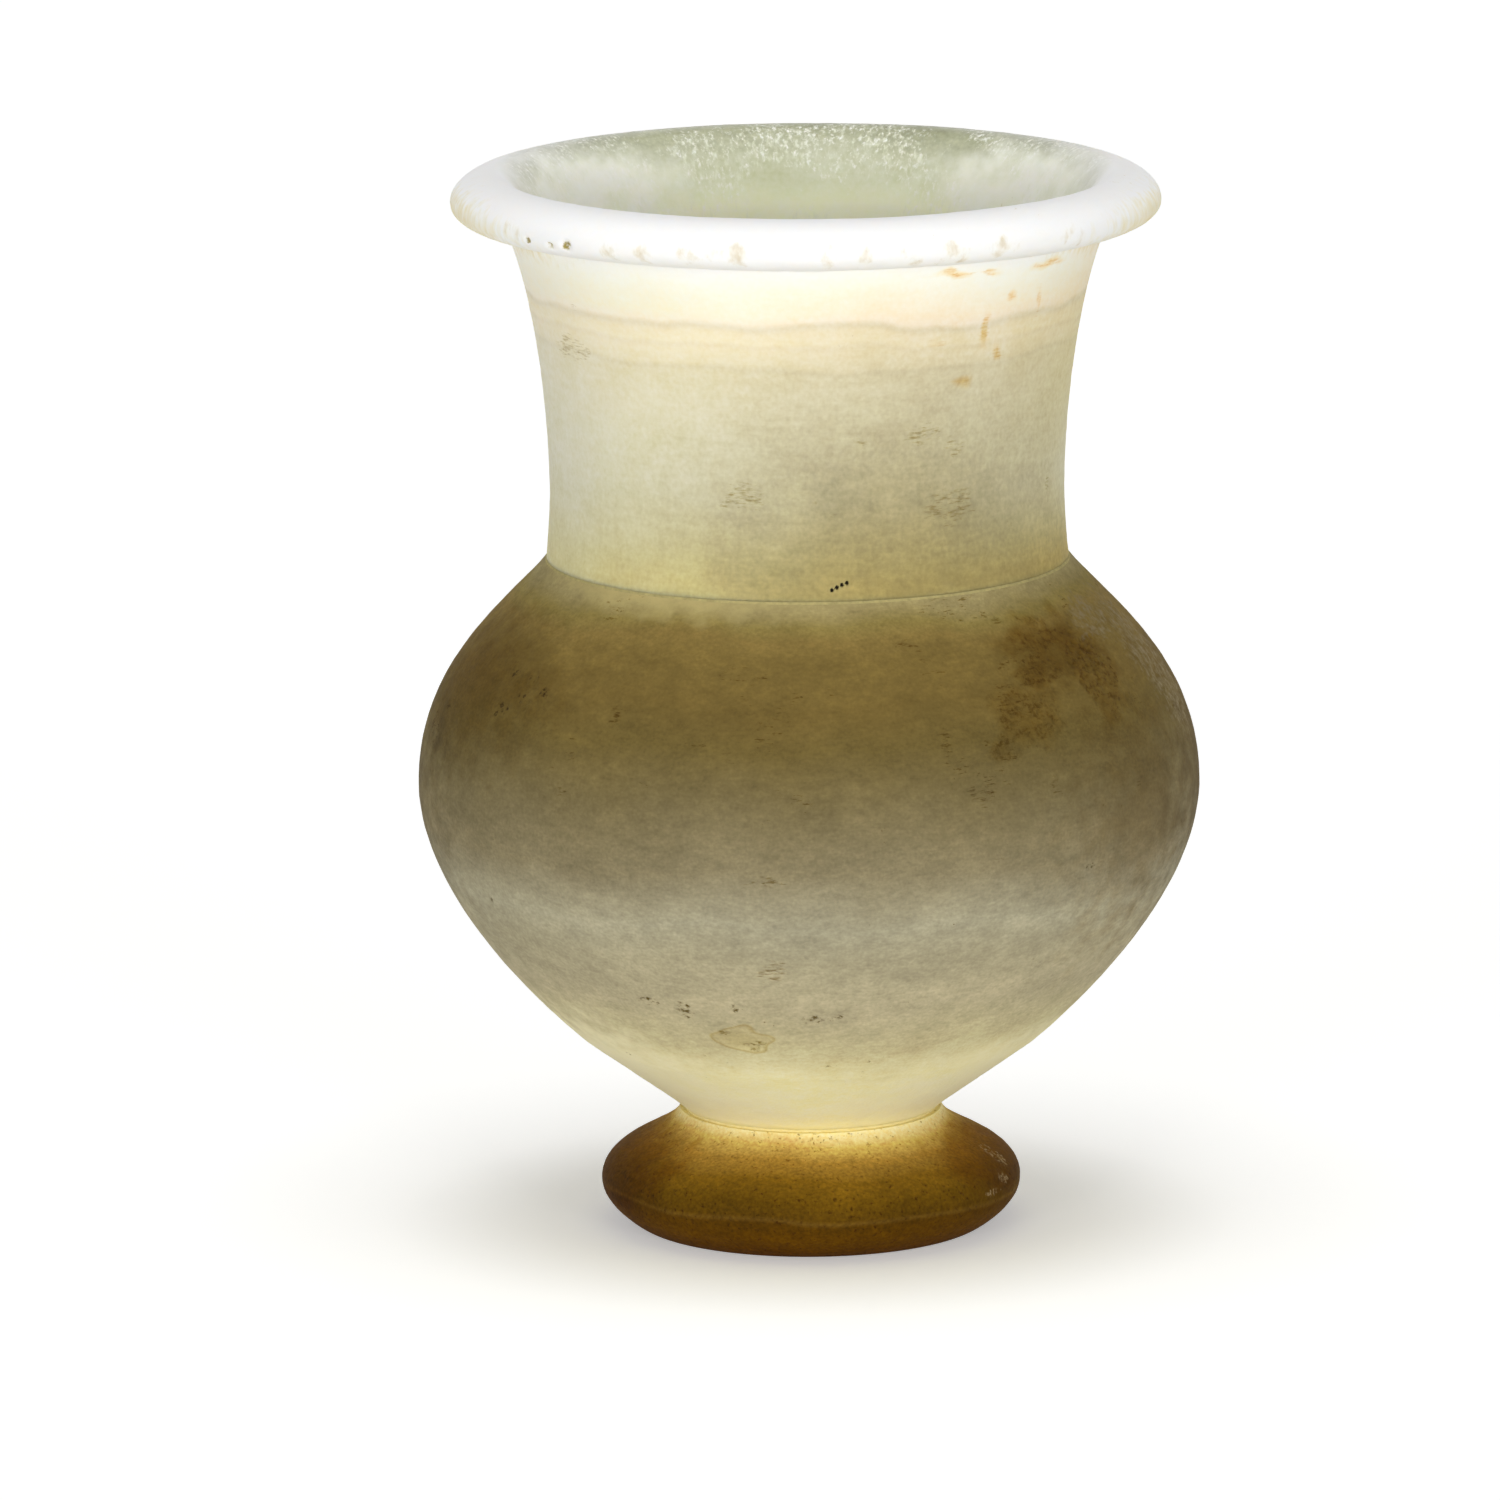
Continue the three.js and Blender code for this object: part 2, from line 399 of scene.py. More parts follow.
foot_dome = FOOT_HEIGHT - FOOT_EDGE_HEIGHT
tenon_top = FOOT_HEIGHT + TENON_HEIGHT
cove_radius = FOOT_HOLLOW_RADIUS - FOOT_HOLLOW_COVE
foot_outline = [
    (0, FOOT_HOLLOW_DEPTH),
    *stretch((FOOT_FAN, FOOT_HOLLOW_DEPTH), (cove_radius, FOOT_HOLLOW_DEPTH), spacing=3),
    *stretch((cove_radius, FOOT_HOLLOW_DEPTH), (FOOT_HOLLOW_RADIUS, 0)),
    *stretch((FOOT_HOLLOW_RADIUS, 0), (FOOT_REST_RADIUS, 0), spacing=3),
    *stretch(
        (FOOT_REST_RADIUS, 0),
        (FOOT_RADIUS, FOOT_EDGE_HEIGHT),
        (FOOT_REST_RADIUS + (FOOT_RADIUS - FOOT_REST_RADIUS) * HEEL_OUT, 0),
        (FOOT_RADIUS, FOOT_EDGE_HEIGHT * HEEL_UP),
        spacing=0.8,
    ),
    *stretch(
        (FOOT_RADIUS, FOOT_EDGE_HEIGHT),
        (FOOT_SEAT_RADIUS, FOOT_HEIGHT),
        (FOOT_RADIUS, FOOT_EDGE_HEIGHT + foot_dome * DOME_UP),
        (
            FOOT_SEAT_RADIUS + (FOOT_RADIUS - FOOT_SEAT_RADIUS) * DOME_TOP_OUT,
            FOOT_HEIGHT - foot_dome * DOME_TOP_DOWN,
        ),
        spacing=0.8,
    ),
    *stretch((FOOT_SEAT_RADIUS, FOOT_HEIGHT), (TENON_RADIUS, FOOT_HEIGHT), spacing=3),
    *stretch((TENON_RADIUS, FOOT_HEIGHT), (TENON_RADIUS, tenon_top - TENON_CHAMFER), spacing=2),
    (TENON_RADIUS, tenon_top - TENON_CHAMFER),
    (TENON_RADIUS - TENON_CHAMFER, tenon_top),
    (0, tenon_top),
]
foot = to_stone(turned(foot_outline, FOOT_STEPS, closed=False), "foot_stone")
rub_uneven(foot, swell=0.25, swell_size=22, grit=0.15, grit_size=2.5, seats=(0, FOOT_HEIGHT))
press_marks(
    foot,
    [
        (68, 12.4, 6, 3, 0.4),
        (61, 10.6, 5, 2, 0.35),
        (74, 16.0, 5, 4, 0.35),
        (-38, 8.8, 5, 2, 0.3),
        (22, 7.6, 30, 4, 0.25),
        (-14, 6.8, 26, 4, 0.25),
    ],
)
mark_spots(foot, "scuffs", [(68, 12.4, 10, 5), (60, 10.6, 14, 3), (75, 16, 9, 9)])
# Where painted shade darkens the foot's sides and back
mark_spots(foot, "painted_foot_side_shade", [(-78, 13, 76, 29), (76, 16, 66, 20), (180, 13, 120, 29)])

# Brown travertine, rubbed with sand: dull and gritty, brown below, and honey yellow towards the body,
# where the yellow is a painted glow
BROWN_ZONES = [
    (0, "5C3602"),
    (4, "664202"),
    (8.4, "583A02"),
    (9.2, "6C4E16"),
    (10, "5D4105"),
    (13, "6A4C08"),
    (17, "8A6616"),
    (20, "B28B3A"),
    (22.5, "DCBC66"),
    (25, "FDEEB0"),
]
brown, tree = new_material("sand_rubbed_brown_travertine")
coords = add_node(tree, "TexCoord").outputs["Object"]
colour = zoned_colour(tree, coords, BROWN_ZONES, drift=2.0)
colour = mottle(tree, colour, coords, size=12, strength=0.15)
colour = mottle(tree, colour, coords, size=2.4, strength=0.16, flatten=2.0)
colour = mottle(tree, colour, coords, size=0.7, strength=0.3)
clouds = add_node(tree, "TexNoise", {"Vector": coords, "Scale": 1 / (6 * MM), "Detail": 3.0})
# Painted shade: the foot's sides and back are darkened
colour, _ = stained(
    tree, colour, "painted_foot_side_shade", clouds.outputs[0], "D0BE8E", pull=1.0, soft=0.6
)
grit = add_node(
    tree, "TexNoise", {"Vector": coords, "Scale": 1 / (0.9 * MM), "Detail": 4.0, "Roughness": 0.6}
)
colour, pits = broken_tint(
    tree, colour, reach=1.0, breakup=grit.outputs[0], tint="C8B490", pull=0.25
)
colour, _ = stained(
    tree, colour, "scuffs", grit.outputs[0], "B89E74", pull=0.42, soft=0.3, blend="MIX"
)
rubbed_face(
    tree, coords, colour, pits, roughness=0.8, sheen=0.08, glow=0.12, depth=2.0, relief=0.6
)
foot.data.materials.append(brown)
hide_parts("foot")
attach(foot, "root")

# Mortar under the body
# A thin bed of gypsum mortar with a skirt round the foot's tenon. It was wiped flush while wet, and is
# coloured like the stones on each side, with their painted glow and shade, so that it hardly shows.
BED = 0.5
SKIRT_GAP = 0.3
SKIRT = 0.6
SKIRT_SHORTFALL = 1
BODY_BASE_RADIUS = 27.15
body_base = FOOT_HEIGHT + BED
skirt_inside = TENON_RADIUS + SKIRT_GAP
skirt_top = tenon_top - SKIRT_SHORTFALL
foot_bed_outline = [
    (skirt_inside, FOOT_HEIGHT),
    (BODY_BASE_RADIUS, FOOT_HEIGHT),
    (BODY_BASE_RADIUS, body_base),
    (skirt_inside + SKIRT, body_base),
    (skirt_inside + SKIRT, skirt_top),
    (skirt_inside, skirt_top),
]
foot_bed = to_stone(turned(foot_bed_outline, FOOT_STEPS, closed=True), "foot_mortar_bed")

# Gypsum mortar: a dead matte plaster with a sandy tooth, in the zone colours of the stones beside it,
# painted glow and shade included
MORTAR_ZONES = [(24, "F6E6A4"), (40, "D8CC98"), (130, "A89A62"), (150, "BAAD76")]
mortar, tree = new_material("stained_gypsum_mortar")
coords = add_node(tree, "TexCoord").outputs["Object"]
colour = zoned_colour(tree, coords, MORTAR_ZONES, drift=1.0)
colour = mottle(tree, colour, coords, size=1.2, strength=0.2)
rubbed_face(
    tree, coords, colour, pits=0.0, roughness=0.85, sheen=0.05, glow=0.1, depth=2.0, relief=0.5
)
foot_bed.data.materials.append(mortar)
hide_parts("foot_mortar")
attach(foot_bed, "root")

# Body
# The big stone, turned outside and ground hollow through its mouth. Its shoulder is darker, with brown
# stains and pits and a painted shade, its belly is bare, and a flake has come off low down in front.
BODY_HEIGHT = 119.75
CONE_RADIUS = 49.0
CONE_HEIGHT = 15.65
BELLY_RADIUS = 84.1
BELLY_HEIGHT = 71.5
MOUTH_RADIUS = 56.2
BELLY_WALL = 8.0
FLOOR_THICKNESS = 5.5
FLOOR_FLAT_RADIUS = 16.0
SOCKET_DEPTH = 7.0
SPIGOT_RADIUS = 51.2
SPIGOT_LENGTH = 8.0
MOUTH_BORE_DEPTH = 8.5
SOCKET_FAN = 6
FLOOR_FAN = 4

# How far the body's bends lean, as shares of the spans that they cross
KNEE_LEAN = 0.1
BELLY_LOW_LEAN = 0.47
BELLY_HIGH_LEAN = 0.51
SHOULDER_OUT = 0.36
SHOULDER_DOWN = 0.235
CAVITY_MOUTH_OUT = 0.63
CAVITY_MOUTH_DOWN = 0.29
CAVITY_HIGH_LEAN = 0.4
CAVITY_LOW_LEAN = 0.38
CAVITY_FLOOR_OUT = 0.42

socket_radius = TENON_RADIUS + SKIRT + 2 * SKIRT_GAP
mouth_bore_radius = SPIGOT_RADIUS + SKIRT + 2 * SKIRT_GAP
knee = (CONE_RADIUS, body_base + CONE_HEIGHT)
belly = (BELLY_RADIUS, body_base + BELLY_HEIGHT)
mouth = (MOUTH_RADIUS, body_base + BODY_HEIGHT)
low_span = BELLY_HEIGHT - CONE_HEIGHT
high_span = BODY_HEIGHT - BELLY_HEIGHT
socket_top = body_base + SOCKET_DEPTH
floor_height = socket_top + FLOOR_THICKNESS
cavity_radius = BELLY_RADIUS - BELLY_WALL
bore_end = (mouth_bore_radius, mouth[1] - MOUTH_BORE_DEPTH)
cavity_high = bore_end[1] - belly[1]
cavity_low = belly[1] - floor_height
body_outside = [
    *stretch((BODY_BASE_RADIUS, body_base), knee),
    *stretch(
        knee,
        belly,
        (
            CONE_RADIUS + (CONE_RADIUS - BODY_BASE_RADIUS) * KNEE_LEAN,
            knee[1] + CONE_HEIGHT * KNEE_LEAN,
        ),
        (BELLY_RADIUS, belly[1] - low_span * BELLY_LOW_LEAN),
    ),
    *stretch(
        belly,
        mouth,
        (BELLY_RADIUS, belly[1] + high_span * BELLY_HIGH_LEAN),
        (
            MOUTH_RADIUS + (BELLY_RADIUS - MOUTH_RADIUS) * SHOULDER_OUT,
            mouth[1] - high_span * SHOULDER_DOWN,
        ),
    ),
]
body_outline = [
    (0, socket_top),
    *stretch((SOCKET_FAN, socket_top), (socket_radius, socket_top), spacing=5),
    *stretch((socket_radius, socket_top), (socket_radius, body_base), spacing=3),
    *stretch((socket_radius, body_base), (BODY_BASE_RADIUS, body_base), spacing=4),
    *body_outside,
    *stretch(mouth, (mouth_bore_radius, mouth[1]), spacing=2),
    *stretch((mouth_bore_radius, mouth[1]), bore_end, spacing=3),
    *stretch(
        bore_end,
        (cavity_radius, belly[1]),
        (
            mouth_bore_radius + (cavity_radius - mouth_bore_radius) * CAVITY_MOUTH_OUT,
            bore_end[1] - cavity_high * CAVITY_MOUTH_DOWN,
        ),
        (cavity_radius, belly[1] + cavity_high * CAVITY_HIGH_LEAN),
        spacing=2.6,
    ),
    *stretch(
        (cavity_radius, belly[1]),
        (FLOOR_FLAT_RADIUS, floor_height),
        (cavity_radius, belly[1] - cavity_low * CAVITY_LOW_LEAN),
        (FLOOR_FLAT_RADIUS + (cavity_radius - FLOOR_FLAT_RADIUS) * CAVITY_FLOOR_OUT, floor_height),
        spacing=2.6,
    ),
    *stretch((FLOOR_FLAT_RADIUS, floor_height), (FLOOR_FAN, floor_height), spacing=4),
    (0, floor_height),
]
bm = turned(body_outline, VESSEL_STEPS, closed=False)
refine(
    bm,
    [
        (-13.7, 52.4, 18, 12),
        (-53, 125.4, 16, 12),
        (37, 122, 24, 16),
        (57, 130, 18, 24),
        (45.3, 89, 8, 6),
        (-58, 79.4, 4, 5),
        (-27, 60.4, 16, 7),
        (-13.8, 60.9, 6, 5),
        (2, 58.4, 12, 5),
        (-27.5, 40.9, 5, 4),
    ],
)
body = to_stone(bm, "body_stone")
rub_uneven(body, swell=0.35, swell_size=45, grit=0.14, grit_size=3, seats=(body_base, mouth[1]))
FLAKE = (-13.7, 52.4)

# Scattered pits have widths and heights between these, in mm, and shares of the depth asked for
PIT_ACROSS = (1.0, 2.2)
PIT_TALL = (0.8, 1.6)
PIT_DEPTH_SHARE = (0.3, 1.0)

# The pits and the rims of the loose marks are drawn from these seeds, the same in every run
PIT_SEED = 7
RIM_SEED = 7
rng = np.random.default_rng(PIT_SEED)
noise.seed_set(RIM_SEED)


def scattered(count, azimuth, azimuth_spread, height, height_spread, depth):
    """Random small pits round a place, as (azimuth, height, across, tall, depth)."""
    return [
        (
            rng.normal(azimuth, azimuth_spread),
            rng.normal(height, height_spread),
            rng.uniform(*PIT_ACROSS),
            rng.uniform(*PIT_TALL),
            rng.uniform(*PIT_DEPTH_SHARE) * depth,
        )
        for _ in range(count)
    ]


press_marks(
    body,
    [
        (FLAKE[0], FLAKE[1], 13, 6.4, 0.3),
        (FLAKE[0] + 1, FLAKE[1] - 1.8, 7, 2.4, 0.6),
        (45.3, 89.0, 1.6, 1.2, 0.5),
        (46.3, 90.2, 1.4, 1.2, 0.4),
        (-58, 79.4, 1.6, 2.0, 0.5),
    ]
    + scattered(20, -52.7, 1.8, 126, 2.2, 0.5)
    + scattered(40, 37, 4.5, 122, 3.0, 0.5)
    + scattered(60, 57, 4.0, 130, 5.5, 0.6),
)


def mark_hollow(stone, edge, width):
    """Stores how far into the vessel's hollow each point lies, from its edge radius inwards, 0 to 1."""
    places = read_points(stone.data, "co") / MM
    radius = np.hypot(places[:, 0], places[:, 1])
    store(stone, "hollow", np.clip((edge(places, radius) - radius) / width, 0, 1))


def inside_body(places, radius):
    """The middle of the body's wall at each height."""
    outer = np.interp(places[:, 2], [p[1] for p in body_outside], [p[0] for p in body_outside])
    return outer - BELLY_WALL / 2


mark_hollow(body, inside_body, width=2)
mark_spots(
    body,
    "brown_stains",
    [(37, 122, 32, 20), (43, 129, 24, 12), (57, 128, 28, 38), (31, 117, 14, 11), (47, 136, 28, 12)],
    loose=2.5,
)
# The right shoulder's edge: rough grit carrying a painted grey sheen
mark_spots(body, "rough_patch_and_painted_sheen", [(80, 124, 40, 62), (68, 136, 30, 18)], loose=2.5)
# Where painted shade darkens the sides, the shoulders and the right flank
mark_spots(
    body, "painted_side_shade", [(94, 88, 150, 110), (-94, 90, 150, 100), (165, 108, 120, 60)], fade=1.0
)
mark_spots(body, "painted_shoulder_shade", [(-72, 122, 130, 56), (50, 133, 60, 26)], fade=0.9)
mark_spots(body, "painted_flank_shade", [(60, 98, 100, 110), (86, 108, 90, 100)], fade=1.0)
# Where painted glow lightens the low flanks and the collar under the neck
mark_spots(body, "painted_flank_glow", [(-62, 37, 130, 60), (64, 33, 130, 52)], fade=1.0)
mark_spots(body, "painted_collar_glow", [(-36, 146, 160, 17)], fade=1.0)
mark_spots(
    body,
    "dark_pits",
    [
        (-58.5, 127.8, 7, 4),
        (-53, 127.6, 8, 3.6),
        (-48.6, 125.4, 6, 6),
        (-53.5, 123.2, 9, 4),
        (-57, 120.5, 10, 7),
        (-30, 61, 12, 4),
        (-23.5, 59.5, 9, 9),
        (-13.8, 60.9, 7, 4),
        (0.3, 58.2, 9, 5),
        (4.5, 58.8, 8, 4),
        (45.5, 89.4, 6, 3),
        (-58, 79.6, 2.4, 4.4),
        (-27.5, 40.9, 3, 1.8),
    ],
)
mark_spots(
    body,
    "faint_marks",
    [
        (26, 108.8, 14, 12),
        (21.6, 119, 5, 14),
        (22.2, 104.2, 13, 2),
        (57, 104.3, 5, 6),
        (39, 108.2, 7, 9),
        (-32.3, 123.7, 9, 9),
        (-11.5, 117.3, 8, 6),
        (-18, 119.3, 8, 3),
        (-38.7, 107.4, 8, 4),
        (28.4, 93.8, 6, 4),
        (-6.7, 91.3, 16, 6),
        (-45, 143.2, 10, 2.4),
        (38, 140.2, 24, 3),
        (-6, 70, 14, 11),
    ],
    loose=1.5,
)
mark_spots(body, "flake", [(FLAKE[0], FLAKE[1], 13.4, 7)], loose=1.6)
mark_spots(
    body,
    "flake_smudge",
    [(FLAKE[0] + 2.4, FLAKE[1] - 1.5, 10, 5), (FLAKE[0] - 3.4, FLAKE[1] + 1.6, 6, 3)],
    loose=0.6,
)

# Travertine, rubbed and then pitted, in zones that fade into each other: dark olive brown on the
# shoulder, which is painted shade, grey cream under the belly, and honey cream at the base, which is a
# painted glow
BODY_ZONES = [
    (26, "FDF4BE"),
    (33, "FDF4C2"),
    (41, "F6ECB8"),
    (50, "C8BD92"),
    (60, "B4A988"),
    (72, "AAA183"),
    (80, "AAA388"),
    (92, "8B8061"),
    (108, "756844"),
    (118, "6E5E32"),
    (126, "725F30"),
    (134, "7E6A37"),
    (138, "89743F"),
    (141, "908048"),
    (144, "9E9062"),
    (148, "AA9C6E"),
]
CAVITY_ZONES = [(38, "D8CC98"), (60, "C4BC94"), (100, "ACA686"), (140, "B4B292")]
ground, tree = new_material("ground_and_rubbed_travertine")
coords = add_node(tree, "TexCoord").outputs["Object"]
outer = zoned_colour(tree, coords, BODY_ZONES, drift=4.0)
inner = zoned_colour(tree, coords, CAVITY_ZONES, drift=3.0)
hollow = add_node(tree, "Attribute", attribute_name="hollow").outputs["Fac"]
colour = add_node(
    tree, "Mix", {0: hollow, MIX_FIRST: outer, MIX_SECOND: inner}, data_type="RGBA"
).outputs[MIX_RESULT]
colour = mottle(tree, colour, coords, size=30, strength=0.11, flatten=2.0)
colour = mottle(tree, colour, coords, size=9, strength=0.11, flatten=2.0)
colour = mottle(tree, colour, coords, size=3.5, strength=0.1, flatten=2.0)
colour = mottle(tree, colour, coords, size=1.6, strength=0.1, flatten=2.4)
colour = mottle(tree, colour, coords, size=0.7, strength=0.12)

# Painted shade darkens the sides, the shoulders and the right flank, and painted glow makes the low
# flanks and the collar under the neck paler
clouds = add_node(tree, "TexNoise", {"Vector": coords, "Scale": 1 / (5 * MM), "Detail": 3.0})
for mark, tint in (
    ("painted_side_shade", "C6BFB2"),
    ("painted_shoulder_shade", "D2C8AE"),
    ("painted_flank_shade", "E3DACB"),
):
    colour, _ = stained(tree, colour, mark, clouds.outputs[0], tint)
# Painted glow: the low flanks and the collar are made paler
colour, _ = stained(tree, colour, "painted_flank_glow", clouds.outputs[0], "F8EEC4", blend="MIX")
colour, _ = stained(
    tree, colour, "painted_collar_glow", clouds.outputs[0], "C4B47A", pull=1.2, soft=1.0, blend="MIX"
)

# Pits are about 0.8 mm across, in clusters some 15 mm wide, and fill the stained places. Their
# noise has waves of these sizes in mm.
PIT_WAVE = 1.5
CLUSTER_WAVE = 15
grit = add_node(
    tree,
    "TexNoise",
    {"Vector": coords, "Scale": 1 / (PIT_WAVE * MM), "Detail": 4.0, "Roughness": 0.65},
)
clusters = add_node(
    tree, "TexNoise", {"Vector": coords, "Scale": 1 / (CLUSTER_WAVE * MM), "Detail": 2.0}
)
patch = add_node(
    tree, "MapRange", {"Value": clusters.outputs[0], "From Min": 0.42, "From Max": 0.66}
).outputs[0]
colour, pits = broken_tint(tree, colour, patch, grit.outputs[0], "A08C64", pull=0.2)

# Rubbing marks: thin level dashes some 2 mm long, all over the stained shoulder. They start at
# a height in mm and are at their full strength at a second. Their waves in mm are flattened.
SHOULDER_MARKS_START = 86
SHOULDER_MARKS_FULL = 112
DASH_WAVE = 2.8
DASH_FLATTEN = 5
level = add_node(tree, "Mapping", {"Vector": coords, "Scale": (1, 1, DASH_FLATTEN)})
dashes = add_node(
    tree,
    "TexNoise",
    {"Vector": level.outputs[0], "Scale": 1 / (DASH_WAVE * MM), "Detail": 4.0, "Roughness": 0.7},
)
upright = add_node(tree, "SeparateXYZ", {0: coords})
shoulder = add_node(
    tree,
    "MapRange",
    {
        "Value": upright.outputs["Z"],
        "From Min": SHOULDER_MARKS_START * MM,
        "From Max": SHOULDER_MARKS_FULL * MM,
    },
)
reach = add_node(tree, "Math", {0: shoulder.outputs[0], 1: patch}, operation="MULTIPLY").outputs[0]
colour, _ = broken_tint(tree, colour, reach, dashes.outputs[0], "C4B490", pull=0.3, soft=0.12)
colour, _ = stained(tree, colour, "faint_marks", dashes.outputs[0], "BCAC88", pull=0.38, soft=0.2)

# The stained right shoulder is crackled brown, and at its edge rough, with a grey sheen painted into the
# grit
colour, _ = stained(
    tree, colour, "brown_stains", clouds.outputs[0], "F0E6CC", pull=0.8, soft=0.6
)
colour, deep = stained(
    tree, colour, "brown_stains", grit.outputs[0], "C8B888", pull=0.4, soft=0.26
)
pits = add_node(tree, "Math", {0: pits, 1: deep}, operation="MAXIMUM").outputs[0]
colour, _ = stained(
    tree, colour, "rough_patch_and_painted_sheen", grit.outputs[0], "8A7C5C", pull=0.5, soft=0.4, blend="MIX"
)
colour, deep = stained(
    tree, colour, "dark_pits", grit.outputs[0], "8E8056", pull=0.38, soft=0.18
)
pits = add_node(tree, "Math", {0: pits, 1: deep}, operation="MAXIMUM").outputs[0]

# The flake's hollow is almost as pale as the stone round it, with a thin olive edge and a smudge
FLAKE_TINTS = [(0.0, "FFFFFF"), (0.1, "EADFC2"), (0.3, "FCF8EE"), (1.0, "F6F1E2")]
reach = add_node(tree, "Attribute", attribute_name="flake").outputs["Fac"]
flake_tint = add_node(tree, "ValToRGB", {0: reach}, stops=FLAKE_TINTS)
colour = add_node(
    tree,
    "Mix",
    {0: 1.0, MIX_FIRST: colour, MIX_SECOND: flake_tint.outputs[0]},
    data_type="RGBA",
    blend_type="MULTIPLY",
).outputs[MIX_RESULT]
colour, _ = stained(
    tree, colour, "flake_smudge", grit.outputs[0], "A89A66", pull=0.46, soft=0.3
)
rubbed_face(
    tree, coords, colour, pits, roughness=0.78, sheen=0.08, glow=0.2, depth=2.0, relief=0.4
)
body.data.materials.append(ground)
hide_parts("body")
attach(body, "root")

# Mortar under the neck
# The same gypsum in the body's mouth: a bed between the two seats and a skirt round the
# neck's spigot. Outside, it was wiped flush in the corner between shoulder and neck.
NECK_ROOT_RADIUS = 55.9
neck_base = mouth[1] + BED
skirt_inside = SPIGOT_RADIUS + SKIRT_GAP
skirt_foot = neck_base - SPIGOT_LENGTH + SKIRT_SHORTFALL
neck_bed_outline = [
    (skirt_inside, neck_base),
    (skirt_inside, skirt_foot),
    (skirt_inside + SKIRT, skirt_foot),
    (skirt_inside + SKIRT, mouth[1]),
    (MOUTH_RADIUS, mouth[1]),
    (NECK_ROOT_RADIUS, neck_base),
]
neck_bed = to_stone(turned(neck_bed_outline, VESSEL_STEPS, closed=True), "neck_mortar_bed")
neck_bed.data.materials.append(mortar)
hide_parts("neck_mortar")
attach(neck_bed, "root")

# Neck
# The top stone: a flaring tube with a rolled lip, cut square underneath. It is the clearest
# stone of the three, cream outside and greyer inside, and its lip is chipped along the edge.
NECK_HEIGHT = 83.25
NECK_NARROW_RADIUS = 55.2
NECK_NARROW_HEIGHT = 14.0
NECK_TOP_RADIUS = 64.8
NECK_ROOT_WALL = 8.4
NECK_NARROW_WALL = 7.0
BORE_NARROW_HEIGHT = 12.0
LIP_HEIGHT = 11.0
LIP_RADIUS = 76.0
LIP_EDGE_HEIGHT = 4.6
LIP_UNDERSIDE_RADIUS = 68.0
CREST_RADIUS = 66.5
SPIGOT_CHAMFER = 0.75

# How far the neck's bends lean, as shares of the spans that they cross. The last is the lean
# that makes a quarter of a circle.
NARROW_LEAN = 0.38
NECK_TOP_IN = 0.55
NECK_TOP_DOWN = 0.17
CREST_IN = 0.52
BORE_UP = 0.56
ROUND = 0.5523

crest_level = neck_base + NECK_HEIGHT
underside = crest_level - LIP_HEIGHT
lip_edge = underside + LIP_EDGE_HEIGHT
narrow_level = neck_base + NECK_NARROW_HEIGHT
flare = underside - narrow_level
bore_radius = NECK_NARROW_RADIUS - NECK_NARROW_WALL
bore_level = neck_base + BORE_NARROW_HEIGHT
root_bore_radius = NECK_ROOT_RADIUS - NECK_ROOT_WALL
spigot_end = neck_base - SPIGOT_LENGTH
neck_outside = [
    *stretch(
        (NECK_ROOT_RADIUS, neck_base),
        (NECK_NARROW_RADIUS, narrow_level),
        (NECK_ROOT_RADIUS, neck_base + NECK_NARROW_HEIGHT / 3),
        (NECK_NARROW_RADIUS, neck_base + NECK_NARROW_HEIGHT * 2 / 3),
    ),
    *stretch(
        (NECK_NARROW_RADIUS, narrow_level),
        (NECK_TOP_RADIUS, underside),
        (NECK_NARROW_RADIUS, narrow_level + flare * NARROW_LEAN),
        (
            NECK_TOP_RADIUS - (NECK_TOP_RADIUS - NECK_NARROW_RADIUS) * NECK_TOP_IN,
            underside - flare * NECK_TOP_DOWN,
        ),
    ),
]
neck_outline = [
    *neck_outside,
    *stretch((NECK_TOP_RADIUS, underside), (LIP_UNDERSIDE_RADIUS, underside), spacing=0.8),
    *stretch(
        (LIP_UNDERSIDE_RADIUS, underside),
        (LIP_RADIUS, lip_edge),
        (LIP_UNDERSIDE_RADIUS + (LIP_RADIUS - LIP_UNDERSIDE_RADIUS) * ROUND, underside),
        (LIP_RADIUS, lip_edge - LIP_EDGE_HEIGHT * ROUND),
        spacing=0.8,
    ),
    *stretch(
        (LIP_RADIUS, lip_edge),
        (CREST_RADIUS, crest_level),
        (LIP_RADIUS, lip_edge + (crest_level - lip_edge) * ROUND),
        (CREST_RADIUS + (LIP_RADIUS - CREST_RADIUS) * ROUND, crest_level),
        spacing=0.8,
    ),
    *stretch(
        (CREST_RADIUS, crest_level),
        (bore_radius, bore_level),
        (CREST_RADIUS - (CREST_RADIUS - bore_radius) * CREST_IN, crest_level),
        (bore_radius, bore_level + (crest_level - bore_level) * BORE_UP),
    ),
    *stretch((bore_radius, bore_level), (root_bore_radius, spigot_end + SPIGOT_CHAMFER), spacing=2),
    (root_bore_radius, spigot_end + SPIGOT_CHAMFER),
    (root_bore_radius + SPIGOT_CHAMFER, spigot_end),
    (SPIGOT_RADIUS - SPIGOT_CHAMFER, spigot_end),
    *stretch((SPIGOT_RADIUS, spigot_end + SPIGOT_CHAMFER), (SPIGOT_RADIUS, neck_base), spacing=3),
    *stretch((SPIGOT_RADIUS, neck_base), (NECK_ROOT_RADIUS, neck_base), spacing=3),
]
bm = turned(neck_outline, VESSEL_STEPS, closed=True)
refine(bm, [(6.9, 149, 8, 5), (-45, 221.4, 18, 8)])
neck = to_stone(bm, "neck_stone")
rub_uneven(neck, swell=0.3, swell_size=35, grit=0.12, grit_size=3, seats=(spigot_end, neck_base))
DRILL_MARKS = [(5.2, 148.2), (6.3, 148.7), (7.4, 149.2), (8.5, 149.6)]
